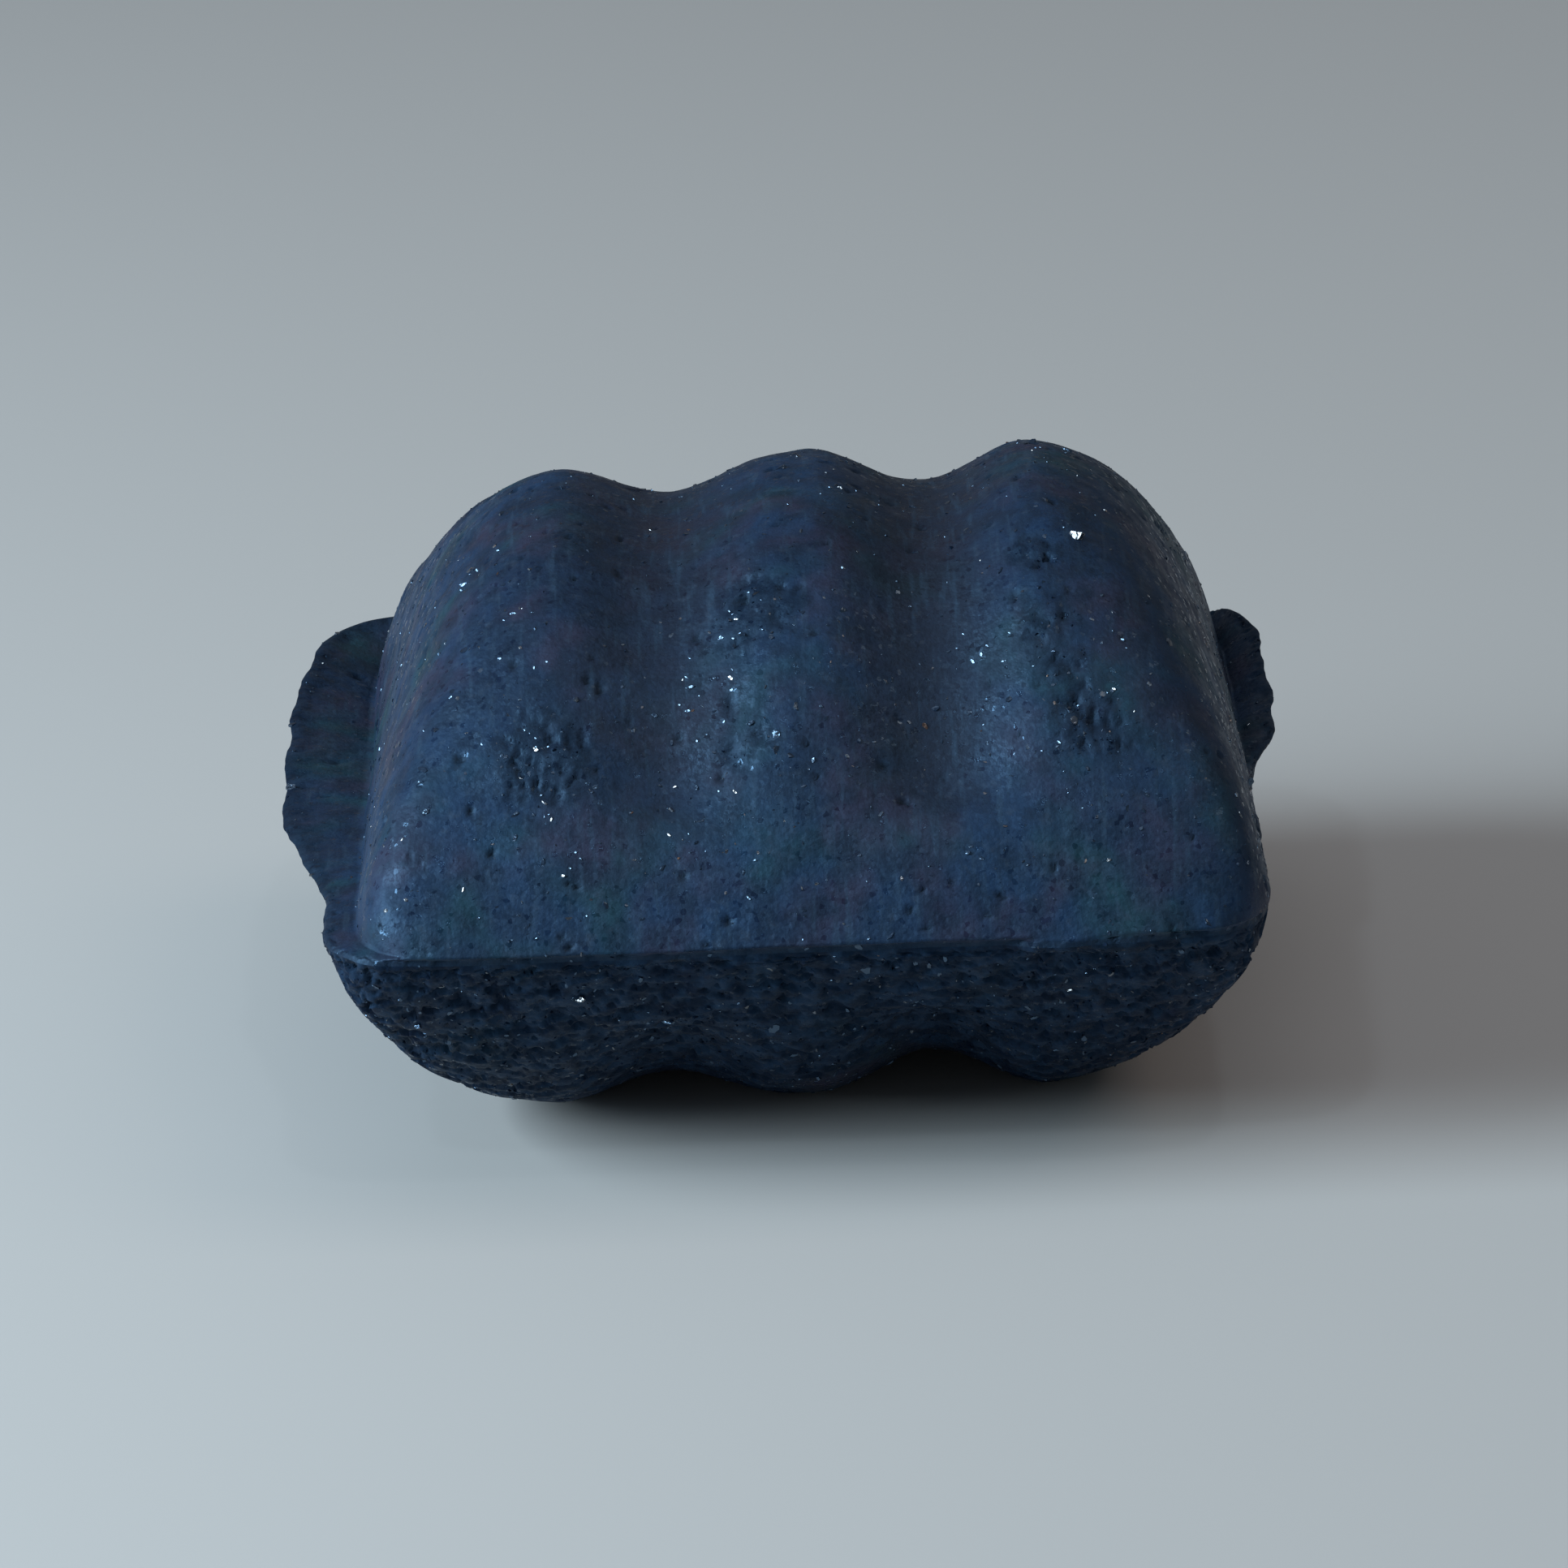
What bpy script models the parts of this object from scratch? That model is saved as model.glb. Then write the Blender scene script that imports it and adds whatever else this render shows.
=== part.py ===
"""A pressed coconut-charcoal briquette: one thick pillow with three ribs on each face.

The two faces are the two pockets of a roller press. They met slightly out of line at the
seam, where squeezed-out charcoal leaves a ledge and a thin, broken flash. X runs across
the ribs, Y along them, Z up. The briquette lies on the worn crests of its three lower
ribs, and the origin is on the ground under the middle of its bounding box.
"""

import math
from typing import NamedTuple

import bmesh
import bpy
from mathutils import Vector, noise

MM = 0.001


class Half(NamedTuple):
    """One pressed face: side is 1 for the upper and -1 for the lower."""

    side: int
    half_width: float
    height: float
    lean: float
    shift: Vector


# Size of the two faces, how much higher they stand at +X, and where their middles are
UPPER = Half(1, 23.2 * MM, 17.0 * MM, 0.75 * MM, Vector((0.85, -0.4, 0)) * MM)
LOWER = Half(-1, 23.9 * MM, 14.5 * MM, 0.0, Vector((0, 0.3, 0)) * MM)
SEAM_HALF_WIDTH = 23.9 * MM
HALF_DEPTH = 24.0 * MM
WORN_OFF = 0.75 * MM

# Plan: how far the corners are drawn in, as a share of each half side
CORNER_CUT = 0.06
CORNER_POWER = (1 - CORNER_CUT) / CORNER_CUT

# Profile of a face: steep walls across the ribs, a gentle arch along them
WALL_POWER = 6.0
ARCH_POWER = 2.55
RIDGE_SHARPNESS = 2.0

# Grooves between the ribs: where each is across the face, and its depth
GROOVES = ((-6.8 * MM, 1.8 * MM), (6.8 * MM, 2.2 * MM))
GROOVE_HALF_WIDTH = 6.2 * MM
GROOVE_STARTS = 0.22
GROOVE_FULL = 0.56

# Seam and flash
SEAM_HALF_THICKNESS = 0.5 * MM
FLASH_USUAL = 0.25 * MM
FLASH_LEAST = 0.08 * MM
FLASH_RAGGED = 0.26 * MM
RAGGED_WAVELENGTH = 2.6 * MM
# The flash's shoulder: how far out it is, and its share of the seam's thickness
SHOULDER_OUT = 0.72
SHOULDER_THICKNESS = 0.62
# Where more flash is left: angle round the seam, half angle covered, reach
FLASH_TONGUES = (
    (169, 45, 2.6 * MM),
    (128, 18, 0.7 * MM),
    (23, 30, 2.0 * MM),
    (300, 9, 0.5 * MM),
)
TONGUE_FULL_SHARE = 0.3
# How far up the widest flash is bent at the back
FLASH_CURL = 2.0 * MM

# Unevenness: amplitude and wavelength of each layer
LUMPS = ((0.34 * MM, 13 * MM), (0.14 * MM, 5 * MM), (0.07 * MM, 2.4 * MM))
LUMP_SEED = Vector((3.7, 1.9, 8.3))

GRID_SIDE = 54
FLASH_ROWS = 2

CHARCOAL_COLOUR = (0.021, 0.033, 0.060, 1.0)
CHARCOAL_ROUGHNESS = 0.62


def clear_scene():
    for obj in list(bpy.data.objects):
        bpy.data.objects.remove(obj)


def smoothstep(low, high, value):
    share = min(max((value - low) / (high - low), 0.0), 1.0)
    return share * share * (3 - 2 * share)


def spread(share):
    """Draws the grid's lines toward the edge, where the faces are steep."""
    return 0.45 * share + 0.55 * math.sin(0.5 * math.pi * share)


def plan_point(s, t, half_width):
    """Place in plan of a point of the square -1..1, whose corners become rounded."""
    x = half_width * s * (1 - CORNER_CUT * abs(t) ** CORNER_POWER)
    y = HALF_DEPTH * t * (1 - CORNER_CUT * abs(s) ** CORNER_POWER)
    return Vector((x, y, 0))


def risen(s, t):
    """Height of a plain face as a share: 0 at the seam, 1 on top, ridges between."""
    wall = max(1 - abs(s) ** WALL_POWER, 1e-4)
    arch = max(1 - abs(t) ** ARCH_POWER, 1e-4)
    power = RIDGE_SHARPNESS
    return (wall ** -power + arch ** -power - 1) ** (-1 / power)


def groove_depth(x):
    """Depth of the grooves at a place across the face."""
    depth = 0.0
    for middle, full_depth in GROOVES:
        offset = min(abs(x - middle) / GROOVE_HALF_WIDTH, 1.0)
        depth += full_depth * math.cos(0.5 * math.pi * offset) ** 2
    return depth


def lumps(point):
    """Unevenness of the pressed charcoal at a point."""
    return sum(
        amplitude * noise.noise(point / wavelength + LUMP_SEED)
        for amplitude, wavelength in LUMPS
    )


def face_point(s, t, half):
    """A point of one pressed face."""
    point = plan_point(s, t, half.half_width)
    share = risen(s, t)
    cut = groove_depth(point.x) * smoothstep(GROOVE_STARTS, GROOVE_FULL, share)
    rise = (half.height + half.lean * s) * share - cut
    point.z = half.side * (SEAM_HALF_THICKNESS + rise)
    point += half.shift
    lean = Vector((s * abs(s) ** 3, t * abs(t) ** 3, half.side * 0.8)).normalized()
    return point + lean * lumps(point)


def flash_reach(x, y):
    """How far the flash stands out of the seam at this place round it."""
    angle = math.degrees(math.atan2(y / HALF_DEPTH, x / SEAM_HALF_WIDTH))
    reach = FLASH_USUAL
    for centre, half_angle, length in FLASH_TONGUES:
        off = abs((angle - centre + 180) % 360 - 180)
        reach += length * (1 - smoothstep(TONGUE_FULL_SHARE * half_angle, half_angle, off))
    ragged = noise.noise(Vector((x, y, 0)) / RAGGED_WAVELENGTH + LUMP_SEED)
    return max(FLASH_LEAST, reach + FLASH_RAGGED * ragged)


def flash_curl(reach, y):
    """How far the flash is bent up: only where it is wide, and most at the back."""
    wide = smoothstep(0.4 * MM, 1.6 * MM, reach)
    return FLASH_CURL * wide * smoothstep(-0.5, 1.0, y / HALF_DEPTH)


def outward(x, y):
    """Level direction out of the seam, from the slope of its outline."""
    power = CORNER_POWER
    across = math.copysign(abs(x / SEAM_HALF_WIDTH) ** power, x) / SEAM_HALF_WIDTH
    along = math.copysign(abs(y / HALF_DEPTH) ** power, y) / HALF_DEPTH
    return Vector((across, along, 0)).normalized()


def seam_point(s, t, half, row):
    """A point of the flash: row 0 is its tip and FLASH_ROWS is its root."""
    root = face_point(s, t, half)
    if row == FLASH_ROWS:
        return root
    tip = plan_point(s, t, SEAM_HALF_WIDTH)
    reach = flash_reach(tip.x, tip.y)
    rise = 0.6 * lumps(tip) + flash_curl(reach, tip.y)
    tip += outward(tip.x, tip.y) * reach
    tip.z = rise
    if row == 0:
        return tip
    shoulder = root.lerp(tip, SHOULDER_OUT)
    shoulder.z = SHOULDER_OUT * rise + half.side * SHOULDER_THICKNESS * SEAM_HALF_THICKNESS
    return shoulder


def press(bm, half):
    """Adds one pressed face to the mesh, from a square grid."""
    made = bmesh.ops.create_grid(bm, x_segments=GRID_SIDE, y_segments=GRID_SIDE, size=1)
    step = 2 / GRID_SIDE
    root = 1 - FLASH_ROWS * step
    for vert in made["verts"]:
        s, t = vert.co.x, vert.co.y
        ring = max(abs(s), abs(t))
        row = round((1 - ring) / step)
        if row > FLASH_ROWS:
            vert.co = face_point(spread(s / root), spread(t / root), half)
        else:
            vert.co = seam_point(spread(s / ring), spread(t / ring), half, row)
    if half.side < 0:
        faces = list({face for vert in made["verts"] for face in vert.link_faces})
        bmesh.ops.reverse_faces(bm, faces=faces)


def settle(bm, ground):
    """Wears the lower crests flat at the ground and centres the piece over the origin."""
    for vert in bm.verts:
        vert.co.z = max(vert.co.z, ground)
    middle = [
        (max(v.co[axis] for v in bm.verts) + min(v.co[axis] for v in bm.verts)) / 2
        for axis in (0, 1)
    ]
    bmesh.ops.translate(bm, verts=bm.verts, vec=(-middle[0], -middle[1], -ground))


def charcoal():
    material = bpy.data.materials.new("charcoal")
    material.use_nodes = True
    shader = material.node_tree.nodes["Principled BSDF"]
    shader.inputs["Base Color"].default_value = CHARCOAL_COLOUR
    shader.inputs["Roughness"].default_value = CHARCOAL_ROUGHNESS
    shader.inputs["Metallic"].default_value = 0.0
    material.diffuse_color = CHARCOAL_COLOUR
    return material


def briquette(collection):
    bm = bmesh.new()
    press(bm, UPPER)
    press(bm, LOWER)
    bmesh.ops.remove_doubles(bm, verts=bm.verts, dist=0.001 * MM)
    settle(bm, WORN_OFF - LOWER.height - SEAM_HALF_THICKNESS)
    bmesh.ops.triangulate(bm, faces=bm.faces, quad_method="SHORT_EDGE")
    mesh = bpy.data.meshes.new("briquette")
    bm.to_mesh(mesh)
    bm.free()
    mesh.shade_smooth()
    mesh.materials.append(charcoal())
    obj = bpy.data.objects.new("briquette", mesh)
    collection.objects.link(obj)
    return obj


def main():
    clear_scene()
    collection = bpy.data.collections.new("coconut_charcoal_briquette")
    bpy.context.scene.collection.children.link(collection)
    briquette(collection)


main()
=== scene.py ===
"""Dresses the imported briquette: pressed skin, torn patches, grit and glassy shell chips."""

import math
from typing import NamedTuple

import bmesh
import bpy
import numpy as np
from mathutils import Matrix, Vector, noise

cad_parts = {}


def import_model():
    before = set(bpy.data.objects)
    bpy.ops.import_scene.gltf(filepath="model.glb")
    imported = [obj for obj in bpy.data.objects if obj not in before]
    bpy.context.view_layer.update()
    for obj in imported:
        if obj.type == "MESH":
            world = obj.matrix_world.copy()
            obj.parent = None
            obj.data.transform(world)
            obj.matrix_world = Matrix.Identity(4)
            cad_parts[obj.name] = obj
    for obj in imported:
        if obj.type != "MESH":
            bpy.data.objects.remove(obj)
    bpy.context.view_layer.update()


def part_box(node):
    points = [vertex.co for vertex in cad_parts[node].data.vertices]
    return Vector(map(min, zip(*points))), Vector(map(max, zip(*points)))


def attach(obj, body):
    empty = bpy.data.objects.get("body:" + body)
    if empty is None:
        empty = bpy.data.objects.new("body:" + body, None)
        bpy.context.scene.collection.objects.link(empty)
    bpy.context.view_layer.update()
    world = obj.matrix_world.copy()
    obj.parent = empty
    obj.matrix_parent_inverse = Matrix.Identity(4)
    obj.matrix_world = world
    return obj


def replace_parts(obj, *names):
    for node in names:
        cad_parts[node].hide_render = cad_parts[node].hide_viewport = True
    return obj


MM = 0.001
SEED = 20


class Half(NamedTuple):
    """One pressed face: side is 1 for the upper and -1 for the lower."""

    name: str
    side: int
    half_width: float
    height: float
    lean: float
    shift: Vector


# The CAD part's form, which is made here on a finer grid
UPPER = Half("upper_face", 1, 23.2 * MM, 17.0 * MM, 0.75 * MM, Vector((0.85, -0.4, 0)) * MM)
LOWER = Half("lower_face", -1, 23.9 * MM, 14.5 * MM, 0.0, Vector((0, 0.3, 0)) * MM)
SEAM_HALF_WIDTH = 23.9 * MM
HALF_DEPTH = 24.0 * MM
WORN_OFF = 0.75 * MM
CORNER_CUT = 0.06
CORNER_POWER = (1 - CORNER_CUT) / CORNER_CUT
WALL_POWER = 6.0
ARCH_POWER = 2.55
RIDGE_SHARPNESS = 2.0
LEAST_RISE = 1e-4
DEEPEST_GROOVE = 2.2 * MM
GROOVES = ((-6.8 * MM, 1.8 * MM), (6.8 * MM, DEEPEST_GROOVE))
GROOVE_HALF_WIDTH = 6.2 * MM
GROOVE_STARTS = 0.22
GROOVE_FULL = 0.56
SEAM_HALF_THICKNESS = 0.5 * MM
FLASH_USUAL = 0.25 * MM
FLASH_LEAST = 0.08 * MM
# Ragged edge of the flash: amplitude and wavelength of each layer
FLASH_RAGGED = ((0.26 * MM, 2.6 * MM), (0.07 * MM, 0.9 * MM))
# Where more flash is left, and last where it is worn away at the front: angle round the
# seam, half angle covered, reach
FLASH_TONGUES = (
    (169, 45, 2.6 * MM),
    (128, 18, 0.7 * MM),
    (23, 30, 2.0 * MM),
    (300, 9, 0.5 * MM),
    (264, 52, -0.4 * MM),
)
TONGUE_FULL_SHARE = 0.3
# How far up the flash is bent, the reach over which that grows, and its place in depth
FLASH_CURL = 2.0 * MM
CURLED_REACH = (0.4 * MM, 1.6 * MM)
CURLED_DEPTH = (-0.5, 1.0)
FLASH_BLUNTNESS = 0.36
LUMPS = ((0.34 * MM, 13 * MM), (0.14 * MM, 5 * MM), (0.07 * MM, 2.4 * MM))
LUMP_SEED = Vector((3.7, 1.9, 8.3))
LUMP_UPRIGHT = 0.8
SEAM_LUMP_SHARE = 0.6

# A face has 2 * GRID_SIDE squared triangles, just under the limit of 200,000
GRID_SIDE = 316
EVEN_SPACING = 0.45
FLASH_ROWS = 12
# Share of the flash's width over which the relief fades out to its edge
RELIEF_FADE = 0.25

# Skin between the torn places: soft unevenness and fine lines drawn by the press
SKIN = ((0.035 * MM, 2.2 * MM), (0.012 * MM, 0.8 * MM))
DRAG_LINE_DEPTH = 0.018 * MM
DRAG_LINE_SCALE = Vector((1 / 0.6, 1 / 8.0, 1 / 8.0)) / MM

# Torn places of the upper face, where the skin came away: middle in plan and radius, in mm
TORN_SPOTS = (
    (-11.2, -5.0, 2.6),
    (-1.6, -12.5, 3.2),
    (-2.8, -17.5, 2.8),
    (-12.8, -18.5, 3.0),
    (13.8, -14.5, 3.2),
    (15.4, -18.0, 2.8),
    (12.6, -9.5, 2.0),
    (8.5, 14.0, 3.0),
    (-9.0, 17.5, 2.6),
    (-15.5, 9.0, 2.4),
)
# From which share of its radius to which a spot fades out
SPOT_FADE = (0.3, 1.2)
# Chance patches of torn skin: strength, wavelength and starting place of each layer
TORN_PATCHES = (
    (1.0, 7.5 * MM, Vector((5.1, 0.4, 2.2))),
    (0.5, 3.0 * MM, Vector((1.1, 7.4, 3.2))),
)
SPECKLE = 0.35
SPECKLE_SIZE = 0.9 * MM


class Tearing(NamedTuple):
    """What tears a face: weights of patch, place and groove, and the levels of start and end."""

    patch: float
    place: float
    groove: float
    starts: float
    full: float


UPPER_TEARING = Tearing(0.55, 0.85, 0.35, 0.35, 1.05)
LOWER_TEARING = Tearing(1.0, 0.9, 0.3, 0.0, 0.4)
# The lower face is torn by the seam, up to these shares of its height
TORN_BY_SEAM = (0.55, 1.0)
# The flash is torn at its edge, up to these shares of its width
TORN_AT_EDGE = (0.05, 0.45)

# Broken grains of the torn places: sizes, how far they are bent, and the crevices between
GRAIN_SIZES = (0.95 * MM, 0.46 * MM)
GRAIN_BEND = 0.22 * MM
GRAIN_BEND_SCALE = 0.7 * MM
GRAIN_STEP = 0.30
GRAIN_TILT = 0.50
CREVICE_DEPTH = 0.10
CREVICE_WIDTH = 0.16
GRAIN_PROUD = 0.03 * MM

# Small uneven pits, one at most in each cell of this size
PIT_SPACING = 1.35 * MM
PIT_START = Vector((0.3, 0.6, 0.1))
PIT_BEND = 0.30 * MM
PIT_BEND_SCALE = 0.55 * MM
PIT_DEPTH = 0.22 * MM
# A cell whose chance value is under the first has no pit. Torn skin lowers that limit
PIT_CHANCE = 0.02
PIT_CHANCE_TORN = 0.25
# Radius of a pit in shares of the spacing, how much it varies, and its flat bottom
PIT_RADIUS = 0.14
PIT_RADIUS_SPREAD = 0.32
PIT_BOTTOM = 0.4

# Multipliers that turn the middle of a grain or pit into chance values of its own
TILT_KEY = 7.3
STEP_KEY = 3.1
PIT_CHANCE_KEY = 9.7
PIT_RADIUS_KEY = 5.3


class Kind(NamedTuple):
    """Grains or flakes in the surface: how many, and their lengths in mm and how these vary."""

    count: int
    usual: float
    spread: float
    least: float
    most: float


GRIT = Kind(8000, 0.36, 0.35, 0.2, 0.8)
CHIPS = Kind(6500, 0.27, 0.38, 0.14, 0.9)
# So many shapes are drawn for each kind and used in turn
SHAPE_COUNT = 24
# None is scattered lower than the first height, and none reaches lower than the second
CLEAR_OF_GROUND = 0.35 * MM
LOWEST_CORNER = 0.02 * MM

# Grains of grit: corners, their reach, width and height in shares of the length
SHARD_CORNERS = 11
SHARD_REACH = (0.40, 0.52)
SHARD_WIDTH = (0.6, 0.8)
SHARD_HEIGHT = 0.7
GRIT_TILT = 0.8
GRIT_SUNK = 0.27
# Grit lies in the torn places, with little elsewhere and less on the flash
GRIT_ELSEWHERE = 0.01
GRIT_TORN_POWER = 1.5
GRIT_SPARED_ON_FLASH = 0.9

# Flakes of shell: corners, uneven turn between them, reach, foot, top and its taper
PLATE_CORNERS = (5, 8)
PLATE_UNEVEN = 0.3
PLATE_REACH = (0.36, 0.5)
PLATE_FOOT = -0.15
PLATE_TOP = (0.02, 0.07)
PLATE_TAPER = 0.92
PLATE_WIDTH = (0.35, 0.8)
# Half of the chips lie flat in the skin, and half are tipped and sunk
FLAT_TILT = 0.25
TIPPED_TILT = 0.8
FLAT_PROUD = 0.01
TIPPED_SUNK = 0.25
# Chips lie everywhere, more of them in the upper face's torn places and fewer on the flash
CHIPS_EVERYWHERE = 0.35
CHIPS_IN_TORN = 0.5
CHIPS_SPARED_ON_FLASH = 0.7

# Tones of the chips, and how likely each is
BLUE, PALE, WARM = range(3)
TONE_CHANCES = (0.80, 0.185, 0.015)

# Larger bright chips of each face: place in plan and length in mm, and tone
UPPER_GLINTS = (
    (15.2, -8.7, 1.5, PALE),
    (-16.2, -5.2, 0.8, BLUE),
    (-15.5, -5.0, 0.6, BLUE),
    (-13.6, -11.0, 0.5, BLUE),
    (-2.2, -12.6, 0.4, PALE),
    (-3.0, -13.1, 0.5, BLUE),
    (-2.5, -15.4, 0.5, PALE),
    (-4.7, -15.0, 0.6, BLUE),
    (-4.9, -16.0, 0.5, BLUE),
    (-2.5, -20.0, 0.4, PALE),
    (-5.6, -18.9, 0.4, PALE),
    (-6.0, -21.2, 0.4, PALE),
    (-12.6, -18.2, 0.4, PALE),
    (-12.2, -20.1, 0.4, PALE),
    (-11.4, -22.6, 0.5, PALE),
    (9.7, -14.2, 0.4, BLUE),
    (11.2, -14.9, 0.4, BLUE),
    (17.3, -14.6, 0.4, BLUE),
    (16.7, -17.0, 0.4, PALE),
    (13.8, -19.0, 0.4, BLUE),
    (3.4, -2.0, 0.4, PALE),
)
LOWER_GLINTS = (
    (-10.9, -22.7, 0.8, PALE),
    (-6.4, -20.8, 0.8, BLUE),
    (-19.1, -21.1, 0.7, BLUE),
    (-17.8, -23.3, 0.5, PALE),
    (13.9, -21.8, 0.5, PALE),
    (16.1, -23.2, 0.5, BLUE),
    (21.6, -22.0, 0.4, BLUE),
)
# Each of them has this many small ones scattered this far around it, of these lengths in mm
NEAR_CHIPS = 3
NEAR_CHIPS_SPREAD = 0.9 * MM
NEAR_CHIPS_LENGTH = (0.16, 0.30)
# The way a chip faces to send the key light toward the viewer, and the weight of that way
# against the surface's own
GLINT_FACING = Vector((-0.49, -0.73, 0.48))
GLINT_SHARE = 0.9
GLINT_TILT = 0.03
NEAR_CHIPS_TILT = 0.14
GLINT_TURN = 0.5
GLINT_WIDTH = (0.3, 0.6)


class Tint(NamedTuple):
    """A colour laid over the charcoal where a cloud of noise runs from low to high.

    The scales are the cloud's lumps to the metre along each axis.
    """

    scales: tuple
    detail: float
    low: float
    high: float
    most: float
    colour: tuple


# Colours of the pressed skin
CHARCOAL = (0.014, 0.025, 0.048, 1)
SLATE = (0.008, 0.022, 0.056, 1)
DARK_SLATE = (0.006, 0.013, 0.033, 1)
TEAL = (0.007, 0.030, 0.040, 1)
VIOLET = (0.018, 0.017, 0.036, 1)
NEAR_BLACK = (0.004, 0.008, 0.019, 1)
# Painted shade: a dark plum laid into the grooves
PAINTED_GROOVE_SHADE = (0.010, 0.010, 0.017, 1)
DRAWN_BLUE = (0.020, 0.040, 0.070, 1)
DUST = (0.030, 0.046, 0.074, 1)
BROKEN = (0.002, 0.006, 0.017, 1)
# Painted shade: near black laid into the pits
PAINTED_PIT_SHADE = (0.002, 0.003, 0.007, 1)
PRESSED_TINTS = (
    Tint((130, 130, 130), 2.0, 0.38, 0.68, 1.0, DARK_SLATE),
    Tint((170, 170, 170), 2.0, 0.48, 0.72, 1.0, TEAL),
    Tint((240, 210, 210), 2.0, 0.46, 0.70, 1.0, VIOLET),
    Tint((620, 620, 620), 3.0, 0.40, 0.66, 0.65, NEAR_BLACK),
)
WORN_TINTS = (
    Tint((2300, 300, 300), 2.0, 0.52, 0.74, 0.45, DRAWN_BLUE),
    Tint((1500, 1500, 1500), 3.0, 0.56, 0.76, 0.35, DUST),
)
BROKEN_SCALES = (850, 850, 850)
BROKEN_RANGE = (0.40, 0.64)
# How much of the colour under them the painted shade of the grooves, the torn places and the
# painted shade of the pits hide
PAINTED_GROOVE_SHADE_SHARE = 0.8
TORN_SHARE = 0.85
PAINTED_PIT_SHADE_SHARE = 0.75

# Fine grain of the charcoal, as bumps, and its gloss
CRYSTAL_SCALE = 4200
CRYSTAL_TILT = 0.09
FINE_SCALES = (3800, 3800, 3800)
FINE_HEIGHT = 0.045 * MM
GLASSY_CRYSTALS = (0.93, 0.95)
GLASSY_ROUGHNESS = 0.2
DULL_SCALES = (700, 700, 700)
DULL_RANGE = (0.35, 0.65)
DULL_ROUGHNESS = (0.50, 0.68)


class Skin(NamedTuple):
    """Finish of one face: light tone of its broken grains, index and tint of its gloss."""

    name: str
    torn_light: tuple
    ior: float
    gloss: tuple


SKINS = (
    Skin("upper_charcoal", (0.006, 0.012, 0.026, 1), 1.5, (0.30, 0.61, 1.0, 1)),
    Skin("lower_charcoal", (0.011, 0.026, 0.054, 1), 1.3, (0.24, 0.58, 1.0, 1)),
)


class Finish(NamedTuple):
    """Finish of grit or chips: two tones, roughness, index and tint of the gloss."""

    name: str
    dark: tuple
    light: tuple
    roughness: float
    ior: float
    gloss: tuple


GRIT_GLOSS = (0.22, 0.52, 1.0, 1)
GRIT_FINISHES = (
    Finish("dark_grit", (0.002, 0.005, 0.013, 1), (0.004, 0.009, 0.022, 1), 0.65, 1.2, GRIT_GLOSS),
    Finish("slate_grit", (0.004, 0.010, 0.024, 1), (0.009, 0.019, 0.042, 1), 0.50, 1.3, GRIT_GLOSS),
)
BLUE_GLOSS = (0.45, 0.70, 1.0, 1)
PALE_GLOSS = (0.88, 0.94, 1.0, 1)
WARM_GLOSS = (1.0, 0.75, 0.6, 1)
# In the order of the tones BLUE, PALE and WARM
SHELL_FINISHES = (
    Finish("blue_shell", (0.003, 0.008, 0.020, 1), (0.007, 0.016, 0.036, 1), 0.22, 2.1, BLUE_GLOSS),
    Finish("pale_shell", (0.006, 0.011, 0.022, 1), (0.020, 0.030, 0.048, 1), 0.22, 2.2, PALE_GLOSS),
    Finish("warm_shell", (0.012, 0.009, 0.012, 1), (0.040, 0.022, 0.018, 1), 0.22, 2.1, WARM_GLOSS),
)
CHIP_TONE_SCALES = (1300, 1300, 1300)
CHIP_TONE_RANGE = (0.40, 0.62)
CHIP_GRAIN_SCALES = (3600, 3600, 3600)
CHIP_GRAIN_HEIGHT = 0.10 * MM
CHIP_GRAIN_STRENGTH = 0.8

FLOOR_SIZE = 6
FLOOR_COLOUR = (0.44, 0.455, 0.46, 1)
FLOOR_ROUGHNESS = 0.85


class Lamp(NamedTuple):
    """A soft square light. Azimuth 0 is in front of the briquette and 90 at its right."""

    name: str
    azimuth: float
    elevation: float
    distance: float
    size: float
    power: float
    colour: tuple


LAMPS = (
    Lamp("key", -70, 28, 0.45, 0.23, 3.2, (0.78, 0.92, 1.0)),
    Lamp("side", -82, 4, 0.60, 0.20, 0.8, (0.55, 0.78, 1.0)),
    Lamp("fill", 78, 52, 1.0, 0.5, 1.2, (1.0, 0.76, 0.62)),
    Lamp("top", 0, 80, 1.0, 0.8, 1.2, (1.0, 0.94, 0.96)),
    Lamp("sparkle_left", -25, 50, 0.8, 0.04, 0.30, (0.78, 0.90, 1.0)),
    Lamp("sparkle_right", 20, 62, 0.8, 0.04, 0.20, (0.85, 0.93, 1.0)),
)
WORLD_COLOUR = (0.78, 0.84, 0.90, 1)
WORLD_STRENGTH = 0.17

# Camera, fitted to the outline, seam and grooves of the photographed briquette
CAMERA_DISTANCE = 430 * MM
CAMERA_ELEVATION = 20.1
CAMERA_AZIMUTH = 0.3
CAMERA_ROLL = 2.1
CAMERA_TARGET = Vector((0, 0, 14.5)) * MM
CLIP_START = 10 * MM
SHARE_OF_FRAME = 0.64


def smoothstep(low, high, value):
    share = min(max((value - low) / (high - low), 0.0), 1.0)
    return share * share * (3 - 2 * share)


def layers(point, amplitudes):
    """Sum of layers of noise, each with its amplitude and wavelength."""
    return sum(height * noise.noise(point / length + LUMP_SEED) for height, length in amplitudes)


def spread(share):
    """Draws the grid's lines toward the edge, where the faces are steep."""
    return EVEN_SPACING * share + (1 - EVEN_SPACING) * math.sin(0.5 * math.pi * share)


def plan_point(s, t, half_width):
    """Place in plan of a point of the square -1..1, whose corners become rounded."""
    x = half_width * s * (1 - CORNER_CUT * abs(t) ** CORNER_POWER)
    y = HALF_DEPTH * t * (1 - CORNER_CUT * abs(s) ** CORNER_POWER)
    return Vector((x, y, 0))


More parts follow.
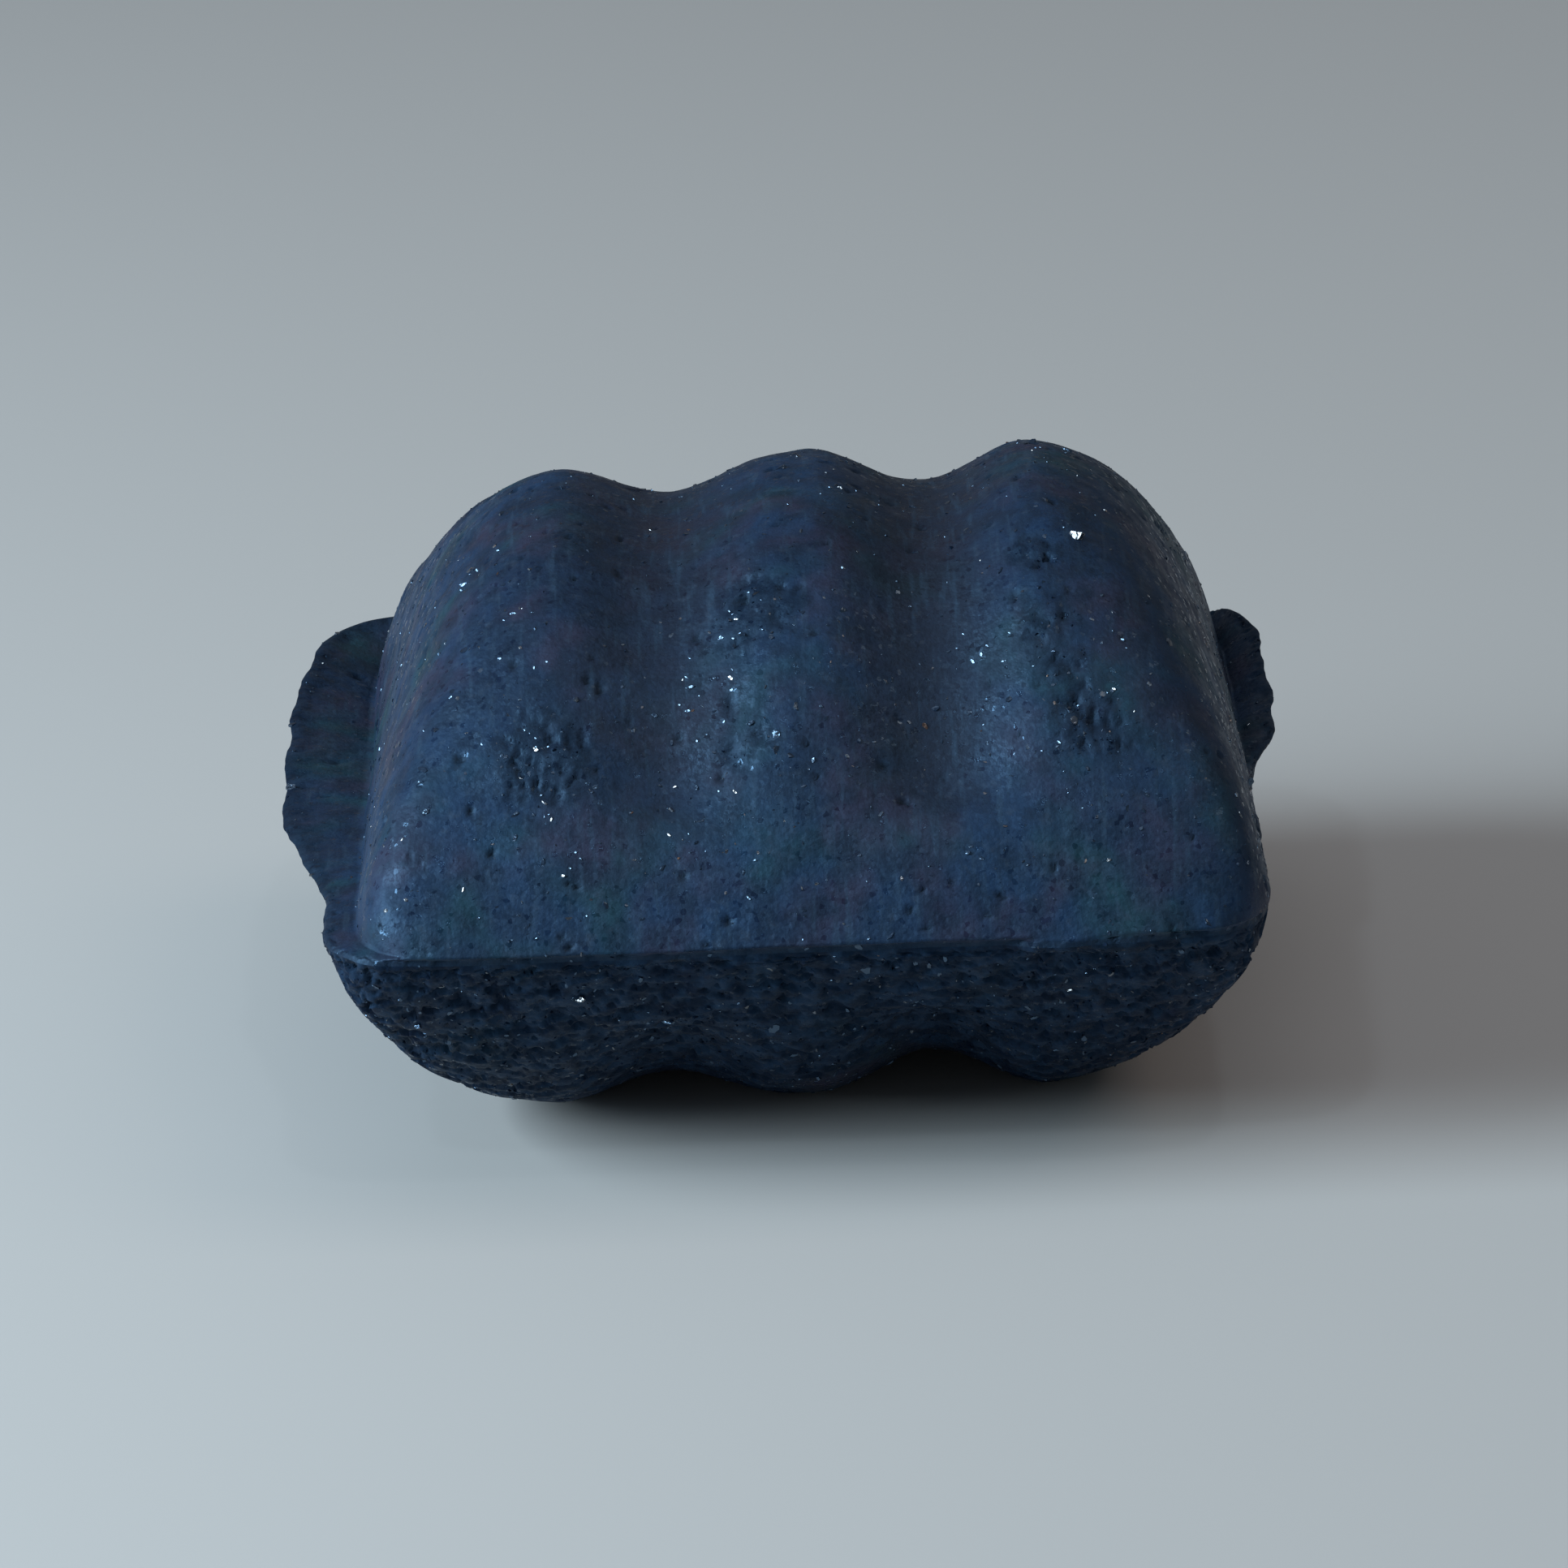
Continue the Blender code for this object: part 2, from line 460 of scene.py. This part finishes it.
def risen(s, t):
    """Height of a plain face as a share: 0 at the seam, 1 on top, ridges between."""
    wall = max(1 - abs(s) ** WALL_POWER, LEAST_RISE)
    arch = max(1 - abs(t) ** ARCH_POWER, LEAST_RISE)
    power = RIDGE_SHARPNESS
    return (wall ** -power + arch ** -power - 1) ** (-1 / power)


def groove_depth(s, t, half):
    """Depth of the grooves at a point of a face."""
    x = plan_point(s, t, half.half_width).x
    depth = 0.0
    for middle, full_depth in GROOVES:
        offset = min(abs(x - middle) / GROOVE_HALF_WIDTH, 1.0)
        depth += full_depth * math.cos(0.5 * math.pi * offset) ** 2
    return depth * smoothstep(GROOVE_STARTS, GROOVE_FULL, risen(s, t))


def face_point(s, t, half):
    """A point of one pressed face."""
    point = plan_point(s, t, half.half_width)
    rise = (half.height + half.lean * s) * risen(s, t) - groove_depth(s, t, half)
    point.z = half.side * (SEAM_HALF_THICKNESS + rise)
    point += half.shift
    lean = Vector((s * abs(s) ** 3, t * abs(t) ** 3, half.side * LUMP_UPRIGHT)).normalized()
    return point + lean * layers(point, LUMPS)


def flash_reach(x, y):
    """How far the flash stands out of the seam at this place round it."""
    angle = math.degrees(math.atan2(y / HALF_DEPTH, x / SEAM_HALF_WIDTH))
    reach = FLASH_USUAL
    for centre, half_angle, length in FLASH_TONGUES:
        off = abs((angle - centre + 180) % 360 - 180)
        reach += length * (1 - smoothstep(TONGUE_FULL_SHARE * half_angle, half_angle, off))
    return max(FLASH_LEAST, reach + layers(Vector((x, y, 0)), FLASH_RAGGED))


def flash_curl(reach, y):
    """How far the flash is bent up: only where it is wide, and most at the back."""
    wide = smoothstep(*CURLED_REACH, reach)
    return FLASH_CURL * wide * smoothstep(*CURLED_DEPTH, y / HALF_DEPTH)


def outward(x, y):
    """Level direction out of the seam, from the slope of its outline."""
    power = CORNER_POWER
    across = math.copysign(abs(x / SEAM_HALF_WIDTH) ** power, x) / SEAM_HALF_WIDTH
    along = math.copysign(abs(y / HALF_DEPTH) ** power, y) / HALF_DEPTH
    return Vector((across, along, 0)).normalized()


def seam_point(s, t, half, row):
    """A point of the flash: row 0 is its tip and FLASH_ROWS is its root."""
    root = face_point(s, t, half)
    tip = plan_point(s, t, SEAM_HALF_WIDTH)
    reach = flash_reach(tip.x, tip.y)
    tip_rise = SEAM_LUMP_SHARE * layers(tip, LUMPS) + flash_curl(reach, tip.y)
    tip += outward(tip.x, tip.y) * reach
    tip.z = tip_rise
    inward = row / FLASH_ROWS
    thickness = half.side * SEAM_HALF_THICKNESS
    root.z -= thickness
    point = tip.lerp(root, inward)
    point.z += thickness * inward ** FLASH_BLUNTNESS
    return point


class Sample(NamedTuple):
    """What the relief and the colours need to know of a point of the plain form."""

    point: Vector
    side: int
    share: float
    groove: float
    inward: float


def sampled(s, t, half):
    """The plain form at a grid point, from the edge of the flash to the top of the face."""
    step = 2 / GRID_SIDE
    root = 1 - FLASH_ROWS * step
    ring = max(abs(s), abs(t))
    row = round((1 - ring) / step)
    if row > FLASH_ROWS:
        s, t = spread(s / root), spread(t / root)
        groove = groove_depth(s, t, half) / DEEPEST_GROOVE
        return Sample(face_point(s, t, half), half.side, risen(s, t), groove, 1.0)
    point = seam_point(spread(s / ring), spread(t / ring), half, row)
    return Sample(point, half.side, 0.0, 0.0, row / FLASH_ROWS)


def spot_share(point):
    """1 inside the named torn spots of the upper face."""
    most = 0.0
    for x, y, radius in TORN_SPOTS:
        off = math.hypot(point.x / MM - x, point.y / MM - y) / radius
        most = max(most, 1 - smoothstep(*SPOT_FADE, off))
    return most


def torn_share(sample):
    """How torn the skin is: spots and patches above, most of the lower face by the seam."""
    point = sample.point
    speckle = SPECKLE * noise.noise(point / SPECKLE_SIZE)
    if sample.side > 0 and sample.inward < 1:
        return 1 - smoothstep(TORN_AT_EDGE[0], TORN_AT_EDGE[1] + speckle, sample.inward)
    patch = sum(most * noise.noise(point / length + start) for most, length, start in TORN_PATCHES)
    if sample.side > 0:
        tearing, place = UPPER_TEARING, spot_share(point)
    else:
        tearing, place = LOWER_TEARING, 1 - smoothstep(*TORN_BY_SEAM, sample.share)
    level = tearing.patch * patch + tearing.place * place
    level += speckle - tearing.groove * sample.groove
    return smoothstep(tearing.starts, tearing.full, level)


def broken_grains(point, size):
    """Height over flat, tilted grain faces with crevices between them, in shares of size."""
    distances, centres = noise.voronoi(point / size)
    centre = centres[0]
    tilt = noise.noise_vector(centre * TILT_KEY)
    height = GRAIN_STEP * noise.noise(centre * STEP_KEY)
    height += GRAIN_TILT * tilt.dot(point / size - centre)
    crevice = 1 - smoothstep(0.0, CREVICE_WIDTH, distances[1] - distances[0])
    return height - CREVICE_DEPTH * crevice


def torn_height(point):
    """Height of the broken grains, which hardly stand out of the skin around them."""
    bent = point + GRAIN_BEND * noise.noise_vector(point / GRAIN_BEND_SCALE)
    return min(sum(size * broken_grains(bent, size) for size in GRAIN_SIZES), GRAIN_PROUD)


def pit_share(point, torn):
    """Depth of a small pit at this point, in shares of the full depth."""
    bent = point + PIT_BEND * noise.noise_vector(point / PIT_BEND_SCALE)
    distances, centres = noise.voronoi(bent / PIT_SPACING + PIT_START)
    chance = noise.noise(centres[0] * PIT_CHANCE_KEY)
    if chance < PIT_CHANCE - PIT_CHANCE_TORN * torn:
        return 0.0
    radius = PIT_RADIUS + PIT_RADIUS_SPREAD * abs(noise.noise(centres[0] * PIT_RADIUS_KEY))
    return 1 - smoothstep(PIT_BOTTOM * radius, radius, distances[0])


def skin_height(point):
    """Height of the unbroken skin over the plain form."""
    lined = Vector(a * b for a, b in zip(point, DRAG_LINE_SCALE))
    return layers(point, SKIN) + DRAG_LINE_DEPTH * noise.noise(lined)


def middle_of(samples):
    """Middle in plan of the plain form's box, which stands over the origin."""
    points = np.array([sample.point for sample in samples])
    low, high = points.min(axis=0), points.max(axis=0)
    return Vector(((low[0] + high[0]) / 2, (low[1] + high[1]) / 2, 0))


def face_mesh(half, samples, bm, move):
    """One face of the briquette with its relief, made of a grid and moved into the frame."""
    torn_layer = bm.verts.layers.float.new("torn")
    seam_layer = bm.verts.layers.float.new("seam")
    pit_layer = bm.verts.layers.float.new("pit")
    groove_layer = bm.verts.layers.float.new("groove")
    for vert, sample in zip(bm.verts, samples):
        vert.co = sample.point
    if half.side < 0:
        bmesh.ops.reverse_faces(bm, faces=bm.faces)
    bm.normal_update()
    for vert, sample in zip(bm.verts, samples):
        torn = torn_share(sample)
        pit = pit_share(sample.point, torn)
        height = skin_height(sample.point) - PIT_DEPTH * pit
        if torn > 0:
            height += torn * torn_height(sample.point)
        vert.co += vert.normal * height * min(sample.inward / RELIEF_FADE, 1.0)
        vert.co += move
        vert.co.z = max(vert.co.z, 0.0)
        vert[torn_layer] = torn
        vert[seam_layer] = float(sample.inward < 1)
        vert[pit_layer] = pit
        vert[groove_layer] = sample.groove
    mesh = bpy.data.meshes.new(half.name)
    bm.to_mesh(mesh)
    bm.free()
    mesh.shade_smooth()
    return mesh


def square_grid():
    bm = bmesh.new()
    bmesh.ops.create_grid(bm, x_segments=GRID_SIDE, y_segments=GRID_SIDE, size=1)
    return bm


def face_meshes():
    """The upper and the lower face, which meet at the edge of the flash."""
    grids = [square_grid(), square_grid()]
    halves = (UPPER, LOWER)
    samples = [
        [sampled(vert.co.x, vert.co.y, half) for vert in grid.verts]
        for grid, half in zip(grids, halves)
    ]
    move = -middle_of(samples[0] + samples[1])
    move.z = LOWER.height + SEAM_HALF_THICKNESS - WORN_OFF
    return [face_mesh(*made, move) for made in zip(halves, samples, grids)]


def add_piece(name, mesh, materials):
    """A piece that stands on the CAD body and takes the given materials."""
    piece = bpy.data.objects.new(name, mesh)
    bpy.context.scene.collection.objects.link(piece)
    for material in materials:
        mesh.materials.append(material)
    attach(piece, "root")
    return piece


class Surface:
    """The triangles of both faces as arrays, to scatter chips over."""

    def __init__(self, meshes):
        parts = [self.read_mesh(mesh) for mesh in meshes]
        starts = np.cumsum([0] + [len(part[0]) for part in parts[:-1]])
        self.points = np.concatenate([part[0] for part in parts])
        self.normals = np.concatenate([part[1] for part in parts])
        self.torn = np.concatenate([part[2] for part in parts])
        self.seam = np.concatenate([part[3] for part in parts])
        self.triangles = np.concatenate([part[4] + start for part, start in zip(parts, starts)])
        self.side = np.repeat((1, -1), [len(part[0]) for part in parts])
        a, b, c = (self.points[self.triangles[:, i]] for i in range(3))
        self.area = 0.5 * np.linalg.norm(np.cross(b - a, c - a), axis=1)

    @staticmethod
    def read(items, name, width):
        values = np.empty(len(items) * width, dtype=np.float32)
        items.foreach_get(name, values)
        return values.reshape(len(items), width)

    def read_mesh(self, mesh):
        mesh.calc_loop_triangles()
        corners = np.empty(3 * len(mesh.loop_triangles), dtype=np.int32)
        mesh.loop_triangles.foreach_get("vertices", corners)
        return (
            self.read(mesh.vertices, "co", 3),
            self.read(mesh.vertex_normals, "vector", 3),
            self.read(mesh.attributes["torn"].data, "value", 1)[:, 0],
            self.read(mesh.attributes["seam"].data, "value", 1)[:, 0],
            corners.reshape(-1, 3),
        )

    def pick(self, rng, count, density):
        """Random places, where density gives how likely each point of the mesh is."""
        chance = self.area * density[self.triangles].mean(axis=1)
        chance[self.points[self.triangles][:, :, 2].min(axis=1) < CLEAR_OF_GROUND] = 0
        chosen = self.triangles[rng.choice(len(chance), size=count, p=chance / chance.sum())]
        weights = rng.dirichlet((1, 1, 1), size=count)[:, :, None]
        places = (self.points[chosen] * weights).sum(axis=1)
        normals = (self.normals[chosen] * weights).sum(axis=1)
        normals /= np.linalg.norm(normals, axis=1)[:, None]
        return places, normals

    def nearest(self, x, y, side):
        """Place and normal of the surface point nearest to x, y in plan, on one side."""
        off = np.hypot(self.points[:, 0] - x, self.points[:, 1] - y)
        off[self.side != side] = np.inf
        index = int(np.argmin(off))
        return self.points[index], self.normals[index]


def hull_of(points):
    """Points and triangles of the convex hull of some points."""
    bm = bmesh.new()
    for point in points:
        bm.verts.new(point)
    bmesh.ops.convex_hull(bm, input=bm.verts)
    loose = [vert for vert in bm.verts if not vert.link_faces]
    bmesh.ops.delete(bm, geom=loose, context="VERTS")
    bmesh.ops.triangulate(bm, faces=bm.faces)
    bm.verts.index_update()
    corners = np.array([vert.co for vert in bm.verts])
    faces = np.array([[vert.index for vert in face.verts] for face in bm.faces])
    bm.free()
    return corners, faces


def shard(rng):
    """An angular grain about 1 long."""
    directions = rng.normal(size=(SHARD_CORNERS, 3))
    directions /= np.linalg.norm(directions, axis=1)[:, None]
    points = directions * rng.uniform(*SHARD_REACH, (SHARD_CORNERS, 1))
    return hull_of(points * (1, rng.uniform(*SHARD_WIDTH), SHARD_HEIGHT))


def plate(rng, width):
    """A thin broken flake about 1 long, with a slightly uneven top."""
    count = int(rng.integers(*PLATE_CORNERS))
    uneven = rng.uniform(-PLATE_UNEVEN, PLATE_UNEVEN, count)
    turns = (np.arange(count) + uneven) * 2 * math.pi / count
    reach = rng.uniform(*PLATE_REACH, count)
    x = reach * np.cos(turns)
    y = width * reach * np.sin(turns)
    foot = np.stack((x, y, np.full(count, PLATE_FOOT)), axis=1)
    top = np.stack((PLATE_TAPER * x, PLATE_TAPER * y, rng.uniform(*PLATE_TOP, count)), axis=1)
    return hull_of(np.concatenate((foot, top)))


def in_turn(shapes, count):
    """A list of count shapes, which takes the given ones in turn."""
    return (shapes * (count // len(shapes) + 1))[:count]


def lengths_of(rng, kind):
    """Lengths of all the pieces of one kind."""
    drawn = rng.lognormal(math.log(kind.usual), kind.spread, kind.count)
    return drawn.clip(kind.least, kind.most) * MM


def bases(rng, normals, tilt):
    """A turned set of axes for each chip, its z within about its tilt of the normal."""
    z = normals + tilt[:, None] * rng.normal(size=normals.shape)
    z /= np.linalg.norm(z, axis=1)[:, None]
    x = np.cross(z, rng.normal(size=normals.shape))
    x /= np.linalg.norm(x, axis=1)[:, None]
    return np.stack((x, np.cross(z, x), z), axis=2)


def scatter(name, shapes, places, axes, sizes, slots):
    """One mesh of many chips, each with its own shape."""
    points, faces, slot_list = [], [], []
    start = 0
    for i, place in enumerate(places):
        shape_points, shape_faces = shapes[i]
        turned = place + (shape_points * sizes[i]) @ axes[i].T
        turned[:, 2] = np.maximum(turned[:, 2], LOWEST_CORNER)
        points.append(turned)
        faces.append(shape_faces + start)
        slot_list.append(np.full(len(shape_faces), slots[i]))
        start += len(shape_points)
    mesh = bpy.data.meshes.new(name)
    mesh.from_pydata(np.concatenate(points).tolist(), [], np.concatenate(faces).tolist())
    mesh.polygons.foreach_set("material_index", np.concatenate(slot_list).astype(np.int32))
    mesh.update()
    return mesh


def grit_mesh(surface, rng):
    """Angular grains half sunk in the torn places."""
    density = GRIT_ELSEWHERE + surface.torn ** GRIT_TORN_POWER
    density *= 1 - GRIT_SPARED_ON_FLASH * surface.seam
    places, normals = surface.pick(rng, GRIT.count, density)
    sizes = lengths_of(rng, GRIT)
    shapes = in_turn([shard(rng) for _ in range(SHAPE_COUNT)], GRIT.count)
    axes = bases(rng, normals, np.full(GRIT.count, GRIT_TILT))
    slots = rng.integers(0, len(GRIT_FINISHES), GRIT.count)
    places -= normals * (GRIT_SUNK * sizes)[:, None]
    return scatter("char_grit", shapes, places, axes, sizes, slots)


def level_basis(z, turn):
    """Axes of a chip that faces along z, its length level but for a turn about z."""
    level = np.cross((0, 0, 1), z)
    level /= np.linalg.norm(level)
    x = math.cos(turn) * level + math.sin(turn) * np.cross(z, level)
    return np.stack((x, np.cross(z, x), z), axis=1)


def glint_group(surface, rng, side, glint):
    """A larger chip and the small ones around it: shape, place, axes, size, slot of each."""
    x, y, length, tone = glint
    around = rng.normal(0, NEAR_CHIPS_SPREAD, (NEAR_CHIPS, 2))
    lengths = [length, *rng.uniform(*NEAR_CHIPS_LENGTH, NEAR_CHIPS)]
    tilts = [GLINT_TILT] + [NEAR_CHIPS_TILT] * NEAR_CHIPS
    tones = [tone] + [BLUE] * NEAR_CHIPS
    group = []
    for (off_x, off_y), size, tilt, slot in zip([(0, 0), *around], lengths, tilts, tones):
        place, normal = surface.nearest(x * MM + off_x, y * MM + off_y, side)
        z = (1 - GLINT_SHARE) * normal + GLINT_SHARE * np.array(GLINT_FACING)
        z += rng.normal(0, tilt, 3)
        axes = level_basis(z / np.linalg.norm(z), rng.uniform(-GLINT_TURN, GLINT_TURN))
        group.append((plate(rng, rng.uniform(*GLINT_WIDTH)), place, axes, size * MM, slot))
    return group


def glinting_chips(surface, rng):
    """All the larger chips with their small ones: shapes, places, axes, sizes, slots."""
    chips = []
    for side, glints in ((1, UPPER_GLINTS), (-1, LOWER_GLINTS)):
        for glint in glints:
            chips += glint_group(surface, rng, side, glint)
    shapes, places, axes, sizes, slots = zip(*chips)
    return list(shapes), np.array(places), np.array(axes), np.array(sizes), np.array(slots)


def chip_mesh(surface, rng):
    """Glassy chips of shell: many small ones, and the larger bright ones at their places."""
    density = CHIPS_EVERYWHERE + CHIPS_IN_TORN * surface.torn * (surface.side > 0)
    density *= 1 - CHIPS_SPARED_ON_FLASH * surface.seam
    places, normals = surface.pick(rng, CHIPS.count, density)
    sizes = lengths_of(rng, CHIPS)
    tilt = rng.choice((FLAT_TILT, TIPPED_TILT), CHIPS.count)
    rise = np.where(tilt == TIPPED_TILT, -TIPPED_SUNK, FLAT_PROUD)
    places += normals * (rise * sizes)[:, None]
    axes = bases(rng, normals, tilt)
    slots = rng.choice(len(TONE_CHANCES), CHIPS.count, p=TONE_CHANCES)
    flakes = [plate(rng, rng.uniform(*PLATE_WIDTH)) for _ in range(SHAPE_COUNT)]
    bright_shapes, *bright = glinting_chips(surface, rng)
    return scatter(
        "shell_chips",
        in_turn(flakes, CHIPS.count) + bright_shapes,
        *(np.concatenate(pair) for pair in zip((places, axes, sizes, slots), bright)),
    )


def add_node(tree, kind, inputs, **settings):
    """A shader node with its settings made and its inputs set or linked."""
    node = tree.nodes.new(kind)
    for name, value in settings.items():
        setattr(node, name, value)
    for name, value in inputs.items():
        if isinstance(value, bpy.types.NodeSocket):
            tree.links.new(value, node.inputs[name])
        else:
            node.inputs[name].default_value = value
    return node


def new_material(name, colour):
    material = bpy.data.materials.new(name)
    material.use_nodes = True
    material.diffuse_color = colour
    shader = material.node_tree.nodes["Principled BSDF"]
    shader.inputs["Base Color"].default_value = colour
    return material, material.node_tree, shader


def combine(tree, operation, first, second):
    return add_node(tree, "ShaderNodeMath", {0: first, 1: second}, operation=operation).outputs[0]


def vector_combine(tree, operation, first, second, output="Vector"):
    inputs = {0: first, 1: second}
    node = add_node(tree, "ShaderNodeVectorMath", inputs, operation=operation)
    return node.outputs[output]


def ramped(tree, value, low, high, start=0.0, end=1.0):
    """value taken smoothly from low..high to start..end."""
    node = add_node(
        tree,
        "ShaderNodeMapRange",
        {"Value": value, "From Min": low, "From Max": high, "To Min": start, "To Max": end},
        interpolation_type="SMOOTHSTEP",
    )
    return node.outputs["Result"]


def cloud(tree, point, scales, detail=2.0):
    """Soft noise with so many lumps to the metre along each axis."""
    stretched = vector_combine(tree, "MULTIPLY", point, scales)
    inputs = {"Vector": stretched, "Scale": 1.0, "Detail": detail}
    return add_node(tree, "ShaderNodeTexNoise", inputs).outputs["Fac"]


def tinted(tree, share, colour, tint):
    """colour with tint over it, by share."""
    inputs = {"Factor": share, "A": colour, "B": tint}
    return add_node(tree, "ShaderNodeMix", inputs, data_type="RGBA").outputs["Result"]


def clouded(tree, point, colour, tint):
    """colour with a Tint laid over it."""
    density = cloud(tree, point, tint.scales, tint.detail)
    share = ramped(tree, density, tint.low, tint.high, 0.0, tint.most)
    return tinted(tree, share, colour, tint.colour)


def attribute(tree, name):
    return add_node(tree, "ShaderNodeAttribute", {}, attribute_name=name).outputs["Fac"]


def covered(tree, name, most, colour, tint):
    """colour with tint over it, as far as the named attribute of the mesh and most say."""
    share = combine(tree, "MULTIPLY", attribute(tree, name), most)
    return tinted(tree, share, colour, tint)


def object_point(tree):
    return add_node(tree, "ShaderNodeTexCoord", {}).outputs["Object"]


def crystals(tree, point):
    """Tiny broken faces: height over them in metres, and a random value for each."""
    inputs = {"Vector": point, "Scale": CRYSTAL_SCALE}
    cells = add_node(tree, "ShaderNodeTexVoronoi", inputs)
    chances = cells.outputs["Color"]
    offset = vector_combine(tree, "SUBTRACT", point, cells.outputs["Position"])
    lean = vector_combine(tree, "SUBTRACT", chances, (0.5, 0.5, 0.5))
    rise = vector_combine(tree, "DOT_PRODUCT", offset, lean, "Value")
    height = combine(tree, "MULTIPLY", rise, 2 * CRYSTAL_TILT)
    parts = add_node(tree, "ShaderNodeSeparateColor", {"Color": chances})
    return height, parts.outputs["Green"]


def bumped(tree, shader, height, strength):
    """Height in metres as a bump under the shader."""
    inputs = {"Height": height, "Strength": strength, "Distance": 1.0}
    bump = add_node(tree, "ShaderNodeBump", inputs)
    tree.links.new(bump.outputs["Normal"], shader.inputs["Normal"])


def skin_colour(tree, point, torn_light):
    """Mottled slate blue, with plum painted shade in the grooves, broken where it is torn, and
    near-black painted shade in the pits.
    """
    colour = SLATE
    for tint in PRESSED_TINTS:
        colour = clouded(tree, point, colour, tint)
    # Painted shade: the grooves darkened toward plum, as far as their depth goes
    colour = covered(tree, "groove", PAINTED_GROOVE_SHADE_SHARE, colour, PAINTED_GROOVE_SHADE)
    for tint in WORN_TINTS:
        colour = clouded(tree, point, colour, tint)
    tone = ramped(tree, cloud(tree, point, BROKEN_SCALES, 3.0), *BROKEN_RANGE)
    broken = tinted(tree, tone, BROKEN, torn_light)
    colour = covered(tree, "torn", TORN_SHARE, colour, broken)
    # Painted shade: the pits darkened toward near black, as far as their depth goes
    return covered(tree, "pit", PAINTED_PIT_SHADE_SHARE, colour, PAINTED_PIT_SHADE)


def skin_material(skin):
    """Pressed charcoal with tiny crystals in it, a few of them glassy."""
    material, tree, shader = new_material(skin.name, CHARCOAL)
    point = object_point(tree)
    tree.links.new(skin_colour(tree, point, skin.torn_light), shader.inputs["Base Color"])

    height, chance = crystals(tree, point)
    fine = combine(tree, "MULTIPLY", cloud(tree, point, FINE_SCALES, 3.0), FINE_HEIGHT)
    bumped(tree, shader, combine(tree, "ADD", height, fine), 1.0)

    glassy = ramped(tree, chance, *GLASSY_CRYSTALS)
    dull = ramped(tree, cloud(tree, point, DULL_SCALES), *DULL_RANGE, *DULL_ROUGHNESS)
    inputs = {"Factor": glassy, "A": dull, "B": GLASSY_ROUGHNESS}
    roughness = add_node(tree, "ShaderNodeMix", inputs)
    tree.links.new(roughness.outputs["Result"], shader.inputs["Roughness"])
    shader.inputs["IOR"].default_value = skin.ior
    shader.inputs["Specular Tint"].default_value = skin.gloss
    return material


def chip_material(finish):
    """Chips with a mottled tone and a faint grain in their gloss."""
    material, tree, shader = new_material(finish.name, finish.light)
    point = object_point(tree)
    tone = ramped(tree, cloud(tree, point, CHIP_TONE_SCALES), *CHIP_TONE_RANGE)
    colour = tinted(tree, tone, finish.dark, finish.light)
    tree.links.new(colour, shader.inputs["Base Color"])
    grain = cloud(tree, point, CHIP_GRAIN_SCALES, 1.0)
    height = combine(tree, "MULTIPLY", grain, CHIP_GRAIN_HEIGHT)
    bumped(tree, shader, height, CHIP_GRAIN_STRENGTH)
    shader.inputs["Roughness"].default_value = finish.roughness
    shader.inputs["IOR"].default_value = finish.ior
    shader.inputs["Specular Tint"].default_value = finish.gloss
    return material


def dress():
    """Puts the fine faces, the grit and the chips in place of the CAD solid."""
    noise.seed_set(SEED)
    rng = np.random.default_rng(SEED)
    meshes = face_meshes()
    for mesh, skin in zip(meshes, SKINS):
        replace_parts(add_piece(mesh.name, mesh, [skin_material(skin)]), "briquette")
    surface = Surface(meshes)
    grit = [chip_material(finish) for finish in GRIT_FINISHES]
    shells = [chip_material(finish) for finish in SHELL_FINISHES]
    add_piece("char_grit", grit_mesh(surface, rng), grit)
    add_piece("shell_chips", chip_mesh(surface, rng), shells)


def floor():
    bpy.ops.mesh.primitive_plane_add(size=FLOOR_SIZE)
    plane = bpy.context.object
    plane.name = "floor"
    material, _, shader = new_material("pale_floor", FLOOR_COLOUR)
    shader.inputs["Roughness"].default_value = FLOOR_ROUGHNESS
    plane.data.materials.append(material)


def direction_to(azimuth, elevation):
    """Direction from the briquette to something that stands round it, angles in degrees."""
    across, up = math.radians(azimuth), math.radians(elevation)
    level = math.cos(up)
    return Vector((math.sin(across) * level, -math.cos(across) * level, math.sin(up)))


def area_light(lamp):
    """A lamp that faces the briquette."""
    data = bpy.data.lights.new(lamp.name, "AREA")
    data.size = lamp.size
    data.energy = lamp.power
    data.color = lamp.colour
    light = bpy.data.objects.new(lamp.name, data)
    bpy.context.scene.collection.objects.link(light)
    direction = direction_to(lamp.azimuth, lamp.elevation)
    light.location = CAMERA_TARGET + direction * lamp.distance
    light.rotation_euler = direction.to_track_quat("Z", "Y").to_euler()


def lights():
    for lamp in LAMPS:
        area_light(lamp)
    world = bpy.data.worlds.new("studio")
    world.use_nodes = True
    background = world.node_tree.nodes["Background"]
    background.inputs["Color"].default_value = WORLD_COLOUR
    background.inputs["Strength"].default_value = WORLD_STRENGTH
    bpy.context.scene.world = world


def camera():
    """Stands where the photograph was taken from, with the briquette's width in the frame."""
    data = bpy.data.cameras.new("camera")
    data.clip_start = CLIP_START
    low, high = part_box("briquette")
    data.lens = data.sensor_width * CAMERA_DISTANCE * SHARE_OF_FRAME / (high[0] - low[0])
    eye = bpy.data.objects.new("camera", data)
    bpy.context.scene.collection.objects.link(eye)
    back = direction_to(-CAMERA_AZIMUTH, CAMERA_ELEVATION)
    turn = back.to_track_quat("Z", "Y").to_matrix().to_4x4()
    roll = Matrix.Rotation(math.radians(-CAMERA_ROLL), 4, "Z")
    eye.matrix_world = Matrix.Translation(CAMERA_TARGET + back * CAMERA_DISTANCE) @ turn @ roll
    bpy.context.scene.camera = eye


def main():
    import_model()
    dress()
    floor()
    lights()
    camera()
    bpy.context.scene.view_settings.view_transform = "Standard"


main()
